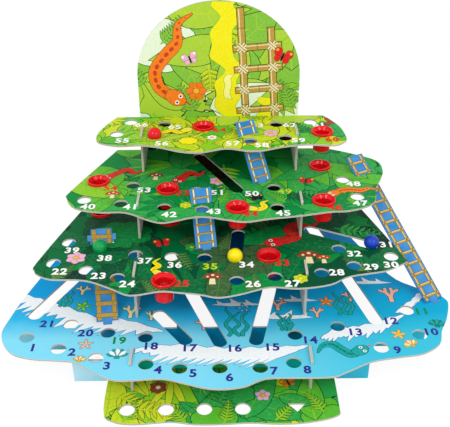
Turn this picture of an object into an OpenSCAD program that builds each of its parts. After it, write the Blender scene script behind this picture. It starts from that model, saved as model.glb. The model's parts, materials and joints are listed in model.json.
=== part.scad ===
// Tiered snakes and ladders game, played with marbles. Printed card boards stand in four levels on two
// stepped card ribs and hook into a tall back panel. Card ladders lean from level to level. Plastic cups
// drop a marble through a board into the long slot of a board below. The origin lies on the table, midway
// between the ribs, in line with their front edges.

/* [Card] */
// Thickness of the card of the boards, ribs and panels
card_t = 2; // [1.6:0.1:2.6]
// Gap on each side of a card that passes through a slot
card_gap = 0.15; // [0.1:0.05:0.3]

/* [Levels] */
// Height of the sea board's top above the table
sea_rise = 34; // [32:1:44]
// Rise from the sea board to the lower forest board
lower_rise = 51; // [46:1:64]
// Rise from the lower forest board to the middle one
middle_rise = 40; // [37:1:52]
// Rise from the middle forest board to the top one
top_rise = 43; // [38:1:56]

/* [Steps] */
// Distance between the middles of the two ribs
rib_gap = 174; // [168:1:180]
// Depth of the ribs' first step, from the sea board to the lower board
lower_step = 73; // [66:1:82]
// Depth of the ribs' second step, from the lower board to the middle one
middle_step = 71; // [66:1:80]
// Depth of the ribs' third step, from the middle board to the top one
top_step = 77; // [70:1:86]
// Depth from the ribs' last step to the back panel
back_step = 56; // [52:1:66]

/* [Boards] */
// Reach of the start board to each side
start_reach = 112; // [104:1:122]
// Length of the start board in front of the ribs
start_front = 44; // [40:1:52]
// Length of the start board behind the ribs' front edges
start_tail = 40; // [30:1:48]
// Reach of the sea board to each side
sea_reach = 240; // [234:1:252]
// Overhang of the sea board in front of its rib tabs
sea_overhang = 31; // [28:1:36]
// Reach of the lower forest board to each side
lower_reach = 191; // [186:1:194]
// Overhang of the lower forest board in front of its rib tabs
lower_overhang = 33; // [30:1:36]
// Reach of the middle forest board to each side
middle_reach = 186; // [182:1:192]
// Overhang of the middle forest board in front of its rib tabs
middle_overhang = 31; // [28:1:34]
// Reach of the top forest board to each side
top_reach = 141; // [137:1:146]
// Overhang of the top forest board in front of its rib tabs
top_overhang = 36; // [32:1:40]

/* [Tabs] */
// Length of a rib's tab through a board
rib_tab_l = 24; // [16:1:28]
// Height of a rib's tab above the board
rib_tab_rise = 4; // [2:0.5:6]
// Corner cut of a rib's tab
rib_tab_chamfer = 1.5; // [0.5:0.5:2]
// Height of the ribs' tabs through the back panel
rib_hook_h = 14; // [8:1:18]
// Width of the boards' tabs through the back panel
board_hook_w = 60; // [30:1:80]
// Length that stands out behind the back panel
hook_proud = 2; // [1:0.5:4]

/* [Marbles] */
// Diameter of a marble
marble_d = 16; // [15.5:0.5:17]
// Diameter of the holes that a marble sits in
hole_d = 15; // [13:0.5:15]
// Width of the slots that a marble rolls along
slot_w = 14.5; // [12.5:0.5:15]
// Length of a slot past the middle of the cup above it
slot_run_on = 13; // [8:1:14]
// Gap between a marble and the edges that it sits on
seat_gap = 0.3; // [0.2:0.1:0.5]

/* [Cups] */
// Room round a marble in a cup's tube
cup_play = 1; // [0.6:0.1:1.6]
// Wall of a cup's tube
cup_wall = 1; // [0.8:0.1:1.4]
// Width of the rim outside the tube
cup_rim = 3; // [2:0.25:3.5]
// Height of the rim above the board
cup_rim_h = 3; // [2.5:0.25:4]
// Width of the rim's rounded lip
cup_lip = 2; // [1.4:0.1:2.4]
// Depth of the funnel inside the cup, from the lip
cup_funnel_h = 3; // [2:0.25:4]
// Height of a cup from the rim to the tube's end
cup_h = 23; // [18:1:26]

/* [Ladders] */
// Width of a ladder
ladder_w = 22.5; // [18:0.5:24]
// Thickness of a ladder
ladder_t = 1.5; // [1:0.1:2]
// Width of a ladder's foot tab
ladder_tab_w = 9; // [6:0.5:12]
// Length of a ladder past the board that it leads to
ladder_poke = 15; // [10:1:18]
// The same length of the ladder that passes two levels
long_ladder_poke = 23; // [18:1:26]
// Room on each side of a ladder in the upper board
ladder_play = 1.5; // [0.5:0.25:2.5]
// Length below the lower board of a ladder's foot tab
ladder_tab_proud = 1; // [0.5:0.25:1.5]
// Width of the stop ears on the flattest ladder
ear_w = 2.5; // [2:0.25:4]
// Length of the stop ears
ear_l = 7; // [4:0.5:9]

/* [Panels] */
// Distance of the front cross panel behind the ribs' front edges
front_panel_y = 16; // [12:1:18]
// Reach of the front cross panel to each side
front_panel_reach = 146; // [140:1:152]
// Height of the arch in the front cross panel, over the start board
front_arch_h = 16; // [10:1:18]
// Distance of the rear cross panel behind the ribs' front edges
rear_panel_y = 63; // [61:1:65]
// Reach of the rear cross panel to each side
rear_panel_reach = 212; // [204:1:214]
// Depth of the notches that leave room for the marbles in the cross panels and ribs
notch_drop = 5; // [4.5:0.5:6]
// Width of the cross panels' notches
notch_w = 19; // [18:1:22]
// Reach of the back panel to each side
panel_reach = 92.5; // [92:0.5:100]
// Height of the back panel's straight sides above the top board
panel_side_h = 50; // [40:1:70]
// Height of the back panel's round crown
crown_h = 86; // [60:1:100]

/* [Hidden] */
$fn = 48;
// Overrun of a cut past the surface that it opens
cut_over = 1;
// Steps of each rounded stretch of an outline
edge_steps = 4;
// Angle between the points of the back panel's crown
crown_angle = 5;
// Angle between the points of a cup's rounded lip
lip_angle = 30;

// Levels count from the start board, 0, to the top board, 4
tops = [
    card_t,
    sea_rise,
    sea_rise + lower_rise,
    sea_rise + lower_rise + middle_rise,
    sea_rise + lower_rise + middle_rise + top_rise
];
steps = [
    -start_front,
    0,
    lower_step,
    lower_step + middle_step,
    lower_step + middle_step + top_step
];
panel_y = steps[4] + back_step;
reaches = [start_reach, sea_reach, lower_reach, middle_reach, top_reach];
overhangs = [0, sea_overhang, lower_overhang, middle_overhang, top_overhang];
backs = [start_tail, panel_y, panel_y, panel_y, panel_y];
sides = [-1, 1];
rib_x = rib_gap / 2;

// A point of a board's outline, as shares of its reach and of its depth from the front
function front(level) = steps[level] - overhangs[level];
function depth(level, share) = front(level) + share * (backs[level] - front(level));
function edge_point(level, share) = [share[0] * reaches[level], depth(level, share[1])];

// A place on a board, where 1 is in line with a rib and 2 at the board's reach, so it keeps clear of the ribs
function place(level, share) = [
    sign(share[0]) * (
        min(abs(share[0]), 1) * rib_x + max(abs(share[0]) - 1, 0) * (reaches[level] - rib_x)
    ),
    depth(level, share[1])
];

// Board outlines, from the left end of the back edge round the front to its right end
start_edge_shares = [
    [-1, 1], [-1, 0.23], [-0.91, 0.06], [-0.72, 0.015], [-0.43, 0.045], [-0.22, 0.005], [0.03, 0.005],
    [0.235, 0.02], [0.48, 0], [0.73, 0.02], [0.97, 0.11], [1, 0.27], [1, 1]
];
sea_edge_shares = [
    [-0.66, 1], [-0.85, 0.53], [-0.91, 0.34], [-0.92, 0.25], [-0.86, 0.17], [-0.77, 0.14], [-0.65, 0.13],
    [-0.58, 0.12], [-0.5, 0.075], [-0.43, 0.045], [-0.37, 0.04], [-0.28, 0.045], [-0.22, 0.045],
    [-0.14, 0.025], [-0.06, 0.005], [0.01, 0], [0.09, 0.01], [0.15, 0.035], [0.21, 0.045], [0.42, 0.045],
    [0.49, 0.065], [0.6, 0.11], [0.72, 0.13], [0.82, 0.145], [0.9, 0.19], [0.93, 0.255], [0.97, 0.315],
    [1, 0.385], [1, 0.415], [0.97, 0.445], [0.88, 0.49], [0.78, 0.57], [0.64, 0.84], [0.56, 1]
];
lower_edge_shares = [
    [-0.7, 1], [-0.84, 0.665], [-0.99, 0.26], [-0.99, 0.2], [-0.97, 0.17], [-0.89, 0.135], [-0.71, 0.125],
    [-0.57, 0.07], [-0.46, 0.02], [-0.31, 0.045], [-0.21, 0.035], [-0.1, 0.02], [-0.01, 0], [0.1, 0.02],
    [0.255, 0.065], [0.41, 0.055], [0.57, 0.08], [0.68, 0.135], [0.87, 0.17], [0.96, 0.21], [1, 0.235],
    [1, 0.265], [0.87, 0.62], [0.72, 1]
];
middle_edge_shares = [
    [-0.66, 1], [-0.87, 0.41], [-0.885, 0.31], [-0.82, 0.18], [-0.67, 0.13], [-0.53, 0.125],
    [-0.385, 0.025], [-0.3, 0], [-0.165, 0.055], [-0.08, 0.065], [0.03, 0.03], [0.14, 0], [0.28, 0.035],
    [0.445, 0.065], [0.62, 0.11], [0.73, 0.12], [0.85, 0.18], [0.9, 0.27], [0.92, 0.4], [0.97, 0.535],
    [1, 0.65], [0.98, 0.8], [0.81, 0.93], [0.68, 1]
];
top_edge_shares = [
    [-0.85, 1], [-0.95, 0.63], [-0.97, 0.4], [-0.93, 0.265], [-0.78, 0.18], [-0.61, 0.2], [-0.455, 0.14],
    [-0.3, 0.03], [-0.145, 0], [0.045, 0.1], [0.2, 0.04], [0.325, 0.035], [0.505, 0.135], [0.7, 0.18],
    [0.89, 0.15], [0.98, 0.25], [1, 0.36], [0.975, 0.65], [0.91, 0.88], [0.86, 1]
];

// Holes that a marble sits in
red_seat_share = [-0.827, 0.415];
green_seat_share = [-1.385, 0.355];
rib_seat_share = [-1.017, 0.31];
front_seat_share = [-1.224, 0.14];
rear_seat_share = [-1.435, 0.305];
start_hole_shares = [[-1.104, 0.225], [-0.605, 0.225], [-0.187, 0.225], [0.232, 0.225]];
sea_hole_shares = [
    [-1.702, 0.24], [-1.475, 0.185], front_seat_share, [-0.828, 0.11], [-0.455, 0.09], [-0.014, 0.09],
    [0.428, 0.09], [0.8, 0.11], [1.459, 0.175], [1.733, 0.235], [1.702, 0.36], [1.208, 0.28],
    [0.855, 0.24], [-0.869, 0.235], [-1.176, 0.26], rear_seat_share
];
lower_hole_shares = [
    [-1.816, 0.25], [-1.477, 0.195], [-1.155, 0.14], [0.187, 0.11], [0.626, 0.135], [1.146, 0.16],
    [1.477, 0.21], [1.871, 0.275], [1.366, 0.34], [-0.187, 0.28], [-0.582, 0.29], rib_seat_share,
    green_seat_share, [-1.725, 0.41]
];
middle_hole_shares = [
    [-1.587, 0.28], [-1.183, 0.23], [-0.673, 0.18], [-0.214, 0.15], [0.695, 0.165], [1.615, 0.29],
    [1.511, 0.52], [0.684, 0.42], [-0.289, 0.39], [-1.089, 0.47]
];
top_hole_shares = [
    [-1.517, 0.5], red_seat_share, [0.397, 0.28], [0.843, 0.355], [1.334, 0.81], [0.754, 0.745],
    [0.276, 0.755], [-0.721, 0.775], [-1.282, 0.845]
];
start_mark_share = [0.824, 0.235];
start_mark_w_share = 0.16;
start_mark_h_share = 0.13;

// Middles of the drop cups, named after the place they stand on
cup_25_share = [-0.648, 0.11];
cup_33_share = [0.582, 0.285];
cup_44_share = [0.214, 0.16];
cup_46_share = [1.239, 0.235];
cup_52_share = [-0.652, 0.405];
cup_54_share = [-1.483, 0.52];
cup_60_share = [1.53, 0.49];
cup_64_share = [-0.203, 0.68];
cup_25_xy = place(2, cup_25_share);
cup_33_xy = place(2, cup_33_share);
cup_44_xy = place(3, cup_44_share);
cup_46_xy = place(3, cup_46_share);
cup_52_xy = place(3, cup_52_share);
cup_54_xy = place(3, cup_54_share);
cup_60_xy = place(4, cup_60_share);
cup_64_xy = place(4, cup_64_share);

// Slots: the end that has the number, and the middle of the cup above the other end
sea_slot_shares = [[1.471, 0.311], [0.402, 0.215], [-0.012, 0.208], [-0.408, 0.22], [-1.694, 0.355]];
sea_slot_cups = [cup_60_xy, cup_33_xy, cup_52_xy, cup_25_xy, cup_54_xy];
sea_slots = [for (i = [0:len(sea_slot_cups) - 1]) [place(1, sea_slot_shares[i]), sea_slot_cups[i]]];
blue_slot_share = [1.706, 0.365];
blue_slot = [place(2, blue_slot_share), cup_46_xy];
yellow_slot_share = [0.176, 0.27];
yellow_slot = [place(2, yellow_slot_share), cup_44_xy];
middle_slot_share = [0.224, 0.4];
middle_slot = [place(3, middle_slot_share), cup_64_xy];

// Ladders: the foot on the lower board, and where the ladder comes through the upper one
ladder_11_shares = [[1.914, 0.41], [1.763, 0.616]];
ladder_19_shares = [[-1.192, 0.315], [-1.385, 0.415]];
ladder_35_shares = [[-0.165, 0.35], [-0.224, 0.24]];
ladder_49_shares = [[0.545, 0.5], [0.373, 0.47]];
function ladder_line(lower, upper, shares) = [
    concat(place(lower, shares[0]), tops[lower]),
    concat(place(upper, shares[1]), tops[upper])
];
ladder_11_line = ladder_line(1, 3, ladder_11_shares);
ladder_19_line = ladder_line(1, 2, ladder_19_shares);
ladder_35_line = ladder_line(2, 3, ladder_35_shares);
ladder_49_line = ladder_line(3, 4, ladder_49_shares);

// Middles of the cross panels' notches, under the holes, slots and foot tab above them
function slot_x(slot, y) =
    slot[0][0] + (slot[1][0] - slot[0][0]) * (y - slot[0][1]) / (slot[1][1] - slot[0][1]);
front_notches = [place(1, front_seat_share)[0]];
rear_notches = [
    place(1, rear_seat_share)[0],
    ladder_19_line[0][0],
    sea_slots[0][0][0],
    for (i = [1:3]) slot_x(sea_slots[i], rear_panel_y + card_t / 2)
];

// Cups and marbles
cup_bore_r = marble_d / 2 + cup_play / 2;
cup_tube_r = cup_bore_r + cup_wall;
cup_rim_r = cup_tube_r + cup_rim;
marble_r = marble_d / 2;
notch_z = sea_rise - card_t - notch_drop;
lap_z = (front_arch_h + notch_z) / 2;

// Smooth curve through the points of an edge
function curve_point(a, b, c, d, t) =
    (2 * b + (c - a) * t + (2 * a - 5 * b + 4 * c - d) * t * t + (3 * b - a - 3 * c + d) * t * t * t) / 2;
function smooth_edge(points) = [
    for (i = [0:len(points) - 2])
        for (s = [0:edge_steps - 1])
            curve_point(
                points[max(i - 1, 0)],
                points[i],
                points[i + 1],
                points[min(i + 2, len(points) - 1)],
                s / edge_steps
            ),
    points[len(points) - 1]
];

// Far end of a slot, past the middle of the cup above it
function slot_end(slot) = slot[1] + slot_run_on * (slot[1] - slot[0]) / norm(slot[1] - slot[0]);

// Height of a marble's middle above the edges of a hole or slot
function marble_seat(width) = sqrt(marble_r * marble_r - width * width / 4) + seat_gap;

// A ladder's run from its foot to the upper board, with its turn and slope
function ladder_run(line) = line[1] - line[0];
function ladder_turn(line) = atan2(-ladder_run(line)[0], ladder_run(line)[1]);
function ladder_slope(line) =
    atan2(ladder_run(line)[2], norm([ladder_run(line)[0], ladder_run(line)[1]]));
function ladder_length(line) = norm(ladder_run(line));

// Through cut with round ends, from one point of a board to another
module slot_cut(from, to, width) {
    run = norm(to - from);
    translate([from[0], from[1], -cut_over])
        rotate(atan2(to[1] - from[1], to[0] - from[0])) {
            cylinder(d = width, h = card_t + 2 * cut_over);
            translate([run, 0, 0])
                cylinder(d = width, h = card_t + 2 * cut_over);
            translate([0, -width / 2, 0])
                cube([run, width, card_t + 2 * cut_over]);
        }
}

module hole_cut(middle, diameter) {
    translate([middle[0], middle[1], -cut_over])
        cylinder(d = diameter, h = card_t + 2 * cut_over);
}

// Slots along the ribs, for a tab or for the rib itself
module rib_cut(from, to) {
    for (side = sides)
        translate([side * rib_x - card_t / 2 - card_gap, from, -cut_over])
            cube([card_t + 2 * card_gap, to - from, card_t + 2 * cut_over]);
}

// Slot that a sloping ladder passes through
module ladder_cut(line, middle, width) {
    slope = ladder_slope(line);
    half = ladder_t / 2 / sin(slope) + card_gap;
    under = card_t / tan(slope);
    translate([middle[0], middle[1], -cut_over])
        rotate(ladder_turn(line))
            translate([-width / 2, -under - half, 0])
                cube([width, under + 2 * half, card_t + 2 * cut_over]);
}

module foot_cut(line) {
    ladder_cut(line, line[0], ladder_tab_w + 2 * card_gap);
}

module top_cut(line) {
    ladder_cut(line, line[1], ladder_w + 2 * ladder_play);
}

// A level's plate with its holes, cup holes, slots and rib slots; other cuts are the children
module board(level, edge_shares, hole_shares, cups = [], slots = []) {
    translate([0, 0, tops[level] - card_t])
        difference() {
            union() {
                linear_extrude(card_t)
                    polygon(smooth_edge([for (share = edge_shares) edge_point(level, share)]));
                if (level > 0)
                    translate([-board_hook_w / 2, panel_y - card_t, 0])
                        cube([board_hook_w, 2 * card_t + hook_proud, card_t]);
            }
            for (share = hole_shares)
                hole_cut(place(level, share), hole_d);
            for (middle = cups)
                hole_cut(middle, 2 * (cup_tube_r + card_gap));
            for (slot = slots)
                slot_cut(slot[0], slot_end(slot), slot_w);
            if (level > 0)
                rib_cut(steps[level] - card_gap, steps[level] + rib_tab_l + card_gap);
            if (level < len(steps) - 1)
                rib_cut(steps[level + 1] - card_gap, backs[level] + cut_over);
            children();
        }
}

module start_mark_cut() {
    middle = place(0, start_mark_share);
    half_w = start_mark_w_share * start_reach / 2;
    half_h = start_mark_h_share * (start_front + start_tail) / 2;
    translate([middle[0], middle[1], -cut_over])
        linear_extrude(card_t + 2 * cut_over)
            polygon([[-half_w, half_h], [0, -half_h], [half_w, half_h]]);
}

module start_board() {
    color("yellowgreen")
        board(0, start_edge_shares, start_hole_shares)
            start_mark_cut();
}

module sea_board() {
    color("deepskyblue")
        board(1, sea_edge_shares, sea_hole_shares, [], sea_slots) {
            foot_cut(ladder_11_line);
            foot_cut(ladder_19_line);
        }
}

module lower_forest_board() {
    color("darkgreen")
        board(2, lower_edge_shares, lower_hole_shares,
            [cup_25_xy, cup_33_xy, cup_52_xy, cup_54_xy, cup_60_xy], [blue_slot, yellow_slot]) {
            top_cut(ladder_19_line);
            foot_cut(ladder_35_line);
        }
}

module middle_forest_board() {
    color("seagreen")
        board(3, middle_edge_shares, middle_hole_shares,
            [cup_44_xy, cup_46_xy, cup_52_xy, cup_54_xy, cup_60_xy], [middle_slot]) {
            top_cut(ladder_11_line);
            top_cut(ladder_35_line);
            foot_cut(ladder_49_line);
        }
}

module top_forest_board() {
    color("greenyellow")
        board(4, top_edge_shares, top_hole_shares, [cup_60_xy, cup_64_xy])
            top_cut(ladder_49_line);
}

// Stepped side plate: each step carries a board, and a tab at its front passes up through it; a notch in
// one step leaves room for a marble
rib_profile = [
    [steps[1], 0],
    [panel_y, 0],
    [panel_y, tops[4] - card_t],
    for (level = [4:-1:1])
        each [
            [steps[level] + rib_tab_l, tops[level] - card_t],
            [steps[level] + rib_tab_l, tops[level] + rib_tab_rise - rib_tab_chamfer],
            [steps[level] + rib_tab_l - rib_tab_chamfer, tops[level] + rib_tab_rise],
            [steps[level] + rib_tab_chamfer, tops[level] + rib_tab_rise],
            [steps[level], tops[level] + rib_tab_rise - rib_tab_chamfer],
            if (level > 1) [steps[level], tops[level - 1] - card_t]
        ]
];

function hook_z(level) = (tops[level] + tops[level + 1] - card_t - rib_hook_h) / 2;

module rib(side) {
    color("lightgray")
        translate([side * rib_x - card_t / 2, 0, 0])
            difference() {
                union() {
                    rotate([90, 0, 90])
                        linear_extrude(card_t)
                            polygon(rib_profile);
                    for (level = [0:3])
                        translate([0, panel_y - card_t, hook_z(level)])
                            cube([card_t, 2 * card_t + hook_proud, rib_hook_h]);
                }
                for (y = [front_panel_y, rear_panel_y])
                    translate([-cut_over, y - card_gap, -cut_over])
                        cube([card_t + 2 * cut_over, card_t + 2 * card_gap, lap_z + card_gap + cut_over]);
                translate([
                    -cut_over,
                    depth(2, rib_seat_share[1]) - hole_d / 2,
                    tops[2] - card_t - notch_drop
                ])
                    cube([card_t + 2 * cut_over, hole_d, notch_drop + cut_over]);
            }
}

module left_rib() {
    rib(-1);
}

module right_rib() {
    rib(1);
}

// Upright card across the ribs, which carries the sea board on its notched top edge
module cross_panel(y, reach, notches) {
    translate([0, y, 0])
        difference() {
            translate([-reach, 0, 0])
                cube([2 * reach, card_t, sea_rise - card_t]);
            for (middle = notches)
                translate([middle - notch_w / 2, -cut_over, notch_z])
                    cube([notch_w, card_t + 2 * cut_over, sea_rise]);
            for (side = sides)
                translate([side * rib_x - card_t / 2 - card_gap, -cut_over, lap_z])
                    cube([card_t + 2 * card_gap, card_t + 2 * cut_over, sea_rise]);
            children();
        }
}

module front_cross_panel() {
    arch_reach = start_reach + card_t;
    color("lightblue")
        cross_panel(front_panel_y, front_panel_reach, front_notches)
            translate([-arch_reach, -cut_over, -cut_over])
                cube([2 * arch_reach, card_t + 2 * cut_over, front_arch_h + cut_over]);
}

module rear_cross_panel() {
    color("steelblue")
        cross_panel(rear_panel_y, rear_panel_reach, rear_notches);
}

// Tall panel with a round crown, slotted for the hooks of the boards and ribs
module back_panel() {
    side_z = tops[4] + panel_side_h;
    outline = [
        [-panel_reach, 0],
        [panel_reach, 0],
        for (a = [0:crown_angle:180]) [panel_reach * cos(a), side_z + crown_h * sin(a)]
    ];
    color("yellowgreen")
        difference() {
            translate([0, panel_y + card_t, 0])
                rotate([90, 0, 0])
                    linear_extrude(card_t)
                        polygon(outline);
            for (level = [1:4])
                translate([-board_hook_w / 2 - card_gap, panel_y - cut_over, tops[level] - card_t - card_gap])
                    cube([board_hook_w + 2 * card_gap, card_t + 2 * cut_over, card_t + 2 * card_gap]);
            for (side = sides)
                for (level = [0:3])
                    translate([
                        side * rib_x - card_t / 2 - card_gap,
                        panel_y - cut_over,
                        hook_z(level) - card_gap
                    ])
                        cube([card_t + 2 * card_gap, card_t + 2 * cut_over, rib_hook_h + 2 * card_gap]);
        }
}

// Card strip from a foot tab on one board up through a slot in another
module ladder(line, poke = ladder_poke, ears = false) {
    slope = ladder_slope(line);
    bottom = ladder_t / 2 / tan(slope);
    tab_l = (card_t + ladder_tab_proud) / sin(slope);
    ear_from = ladder_length(line) + bottom + card_gap;
    color("royalblue")
        translate(line[0])
            rotate([0, 0, ladder_turn(line)])
                rotate([slope, 0, 0])
                    translate([0, 0, -ladder_t / 2]) {
                        translate([-ladder_w / 2, bottom, 0])
                            cube([ladder_w, ladder_length(line) + poke - bottom, ladder_t]);
                        translate([-ladder_tab_w / 2, -tab_l, 0])
                            cube([ladder_tab_w, tab_l + 2 * bottom, ladder_t]);
                        if (ears)
                            translate([-ladder_w / 2 - ladder_play - ear_w, ear_from, 0])
                                cube([ladder_w + 2 * (ladder_play + ear_w), ear_l, ladder_t]);
                    }
}

module ladder_11() {
    ladder(ladder_11_line, long_ladder_poke);
}

module ladder_19() {
    ladder(ladder_19_line, ears = true);
}

module ladder_35() {
    ladder(ladder_35_line);
}

module ladder_49() {
    ladder(ladder_49_line);
}

// Turned plastic funnel whose rim lies on a board and whose tube hangs through it
module cup(middle, level) {
    lip_r = cup_lip / 2;
    lip_z = cup_rim_h - lip_r;
    color("red")
        translate([middle[0], middle[1], tops[level]])
            rotate_extrude()
                polygon([
                    [cup_bore_r, cup_rim_h - cup_h],
                    [cup_tube_r, cup_rim_h - cup_h],
                    [cup_tube_r, 0],
                    [cup_rim_r, 0],
                    for (a = [0:lip_angle:180])
                        [cup_rim_r - lip_r + lip_r * cos(a), lip_z + lip_r * sin(a)],
                    [cup_bore_r, lip_z - cup_funnel_h]
                ]);
}

module cup_25() {
    cup(cup_25_xy, 2);
}

module cup_33() {
    cup(cup_33_xy, 2);
}

module cup_44() {
    cup(cup_44_xy, 3);
}

module cup_46() {
    cup(cup_46_xy, 3);
}

module cup_52() {
    cup(cup_52_xy, 3);
}

module cup_54() {
    cup(cup_54_xy, 3);
}

module cup_60() {
    cup(cup_60_xy, 4);
}

module cup_64() {
    cup(cup_64_xy, 4);
}

module relay_cup_52() {
    cup(cup_52_xy, 2);
}

module relay_cup_54() {
    cup(cup_54_xy, 2);
}

module relay_cup_60_middle() {
    cup(cup_60_xy, 3);
}

module relay_cup_60_lower() {
    cup(cup_60_xy, 2);
}

module marble(middle, level, width) {
    translate([middle[0], middle[1], tops[level] + marble_seat(width)])
        sphere(d = marble_d);
}

module red_marble() {
    color("crimson")
        marble(place(4, red_seat_share), 4, hole_d);
}

module green_marble() {
    color("limegreen")
        marble(place(2, green_seat_share), 2, hole_d);
}

module yellow_marble() {
    color("gold")
        marble(yellow_slot[0], 2, slot_w);
}

module blue_marble() {
    color("mediumblue")
        marble(blue_slot[0], 2, slot_w);
}

start_board();
sea_board();
lower_forest_board();
middle_forest_board();
top_forest_board();
left_rib();
right_rib();
front_cross_panel();
rear_cross_panel();
back_panel();
ladder_11();
ladder_19();
ladder_35();
ladder_49();
cup_25();
cup_33();
cup_44();
cup_46();
cup_52();
cup_54();
cup_60();
cup_64();
relay_cup_52();
relay_cup_54();
relay_cup_60_middle();
relay_cup_60_lower();
red_marble();
green_marble();
yellow_marble();
blue_marble();
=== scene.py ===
import json
import math
import random

import bpy
from mathutils import Matrix, Vector


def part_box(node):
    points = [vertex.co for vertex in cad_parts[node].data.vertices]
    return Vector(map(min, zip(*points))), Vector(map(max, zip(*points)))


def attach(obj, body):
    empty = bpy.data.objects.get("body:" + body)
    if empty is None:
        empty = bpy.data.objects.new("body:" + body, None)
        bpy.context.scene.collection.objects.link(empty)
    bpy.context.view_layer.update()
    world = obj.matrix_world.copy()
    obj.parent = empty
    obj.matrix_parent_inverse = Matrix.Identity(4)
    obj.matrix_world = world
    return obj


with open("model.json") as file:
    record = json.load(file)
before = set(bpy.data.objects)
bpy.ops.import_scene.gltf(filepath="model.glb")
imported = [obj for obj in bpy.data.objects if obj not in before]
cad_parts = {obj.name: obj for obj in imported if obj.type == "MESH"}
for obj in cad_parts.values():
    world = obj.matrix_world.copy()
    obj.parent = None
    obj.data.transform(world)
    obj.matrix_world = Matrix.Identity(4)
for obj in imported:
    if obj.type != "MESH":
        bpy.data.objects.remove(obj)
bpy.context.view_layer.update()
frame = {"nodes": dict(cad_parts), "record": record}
bpy.ops.object.select_all(action="DESELECT")

# Ribs.
# Two stepped ribs of die-cut greyboard, 2 mm thick, faced with pale grey paper; the cut edges show the core.
# They stand in the start board's slots and carry the other four boards on their steps.


def tint(red, green, blue):
    """A printed colour, 0 to 255 a channel, as Blender's linear colour."""
    def channel(value):
        value /= 255
        return value / 12.92 if value <= 0.04045 else ((value + 0.055) / 1.055) ** 2.4
    return (channel(red), channel(green), channel(blue), 1.0)


def wire(tree, kind, sockets=None, **settings):
    """Adds a node, with its settings, and its sockets set or linked."""
    node = tree.nodes.new("ShaderNode" + kind)
    for key, value in settings.items():
        setattr(node, key, value)
    for key, value in (sockets or {}).items():
        if isinstance(value, bpy.types.NodeSocket):
            tree.links.new(value, node.inputs[key])
        else:
            node.inputs[key].default_value = value
    return node


def reckon(tree, operation, *values, clamp=False):
    """One step of arithmetic on numbers or sockets."""
    step = wire(tree, "Math", dict(enumerate(values)), operation=operation, use_clamp=clamp)
    return step.outputs[0]


def shades(tree, factor, stops, steps="LINEAR"):
    """Colours along a factor: stops are (position, colour)."""
    node = wire(tree, "ValToRGB", {"Fac": factor})
    node.color_ramp.interpolation = steps
    for position, colour in stops[2:]:
        node.color_ramp.elements.new(position)
    for element, (position, colour) in zip(node.color_ramp.elements, stops):
        element.position = position
        element.color = colour
    return node.outputs["Color"]


def blend(tree, factor, first, second):
    """A colour that goes from the first to the second as the factor goes from 0 to 1."""
    node = wire(tree, "Mix", {0: factor, 6: first, 7: second}, data_type="RGBA")
    return node.outputs[2]


def noise(tree, mm, scale, detail=3.0):
    """Soft blotches, so many to a millimetre."""
    return wire(tree, "TexNoise", {"Vector": mm, "Scale": scale, "Detail": detail}).outputs["Fac"]


def share_of(tree, mm, axis, low, high):
    """How far a point lies from low to high along an axis, from 0 to 1."""
    along = wire(tree, "SeparateXYZ", {0: mm}).outputs[axis]
    return wire(tree, "MapRange", {"Value": along, "From Min": low, "From Max": high}).outputs["Result"]


def finish(name, shine, roughness=0.5):
    """A material with a shader and a pattern space in millimetres."""
    material = bpy.data.materials.new(name)
    material.use_nodes = True
    tree = material.node_tree
    shader = tree.nodes["Principled BSDF"]
    shader.inputs["Roughness"].default_value = roughness
    shader.inputs["Specular IOR Level"].default_value = shine
    place = wire(tree, "TexCoord")
    mm = wire(tree, "Mapping", {"Vector": place.outputs["Object"], "Scale": (1000, 1000, 1000)})
    return material, tree, shader, mm.outputs["Vector"]


def span(node, axis):
    """The least and greatest place of a CAD node along an axis, in millimetres."""
    number = "XYZ".index(axis)
    return tuple(1000 * corner[number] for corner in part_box(node))


print_shine = 0.06
print_roughness = 0.45
bare_roughness = 0.85
skin_share = 0.12
face_share = 0.01
tooth_strength = 0.06
tooth_height = 0.0002
paper_white = tint(236, 233, 226)
board_core = tint(200, 193, 180)
board_core_dark = tint(168, 160, 148)
plain_back = tint(226, 223, 214)
plain_back_dark = tint(214, 211, 202)


def dress(node, material):
    """Gives a CAD node its finish, in every material slot it has."""
    slots = bpy.data.objects[node].data.materials
    if not slots:
        slots.append(material)
    for number in range(len(slots)):
        slots[number] = material


def paper_tooth(tree, mm, shader):
    """The faint tooth of paper, as a bump."""
    tooth = {"Strength": tooth_strength, "Distance": tooth_height, "Height": noise(tree, mm, 2.4)}
    bump = wire(tree, "Bump", tooth)
    tree.links.new(bump.outputs["Normal"], shader.inputs["Normal"])


def dress_card(node, axis, printed, front_first=False):
    """Card: a printed face, a cut edge of grey core between paper skins, and a plain back."""
    material, tree, shader, mm = finish(node + "_card", print_shine)
    low, high = span(node, axis)
    depth = share_of(tree, mm, axis, *((high, low) if front_first else (low, high)))
    fibre = noise(tree, mm, 1.6, 4.0)
    core = shades(tree, fibre, [(0.35, board_core_dark), (0.62, board_core)])
    white, black = (1, 1, 1, 1), (0, 0, 0, 1)
    skins = [(0.0, white), (skin_share, black), (1 - skin_share, white)]
    skin = shades(tree, depth, skins, "CONSTANT")
    edge = blend(tree, skin, core, paper_white)
    plain = shades(tree, fibre, [(0.3, plain_back_dark), (0.7, plain_back)])
    is_back = reckon(tree, "LESS_THAN", depth, face_share)
    is_print = reckon(tree, "GREATER_THAN", depth, 1 - face_share)
    colour = blend(tree, is_back, edge, plain)
    colour = blend(tree, is_print, colour, printed(tree, mm))
    tree.links.new(colour, shader.inputs["Base Color"])
    gloss = {"Value": is_print, "To Min": bare_roughness, "To Max": print_roughness}
    rough = wire(tree, "MapRange", gloss).outputs["Result"]
    tree.links.new(rough, shader.inputs["Roughness"])
    paper_tooth(tree, mm, shader)
    dress(node, material)


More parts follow.
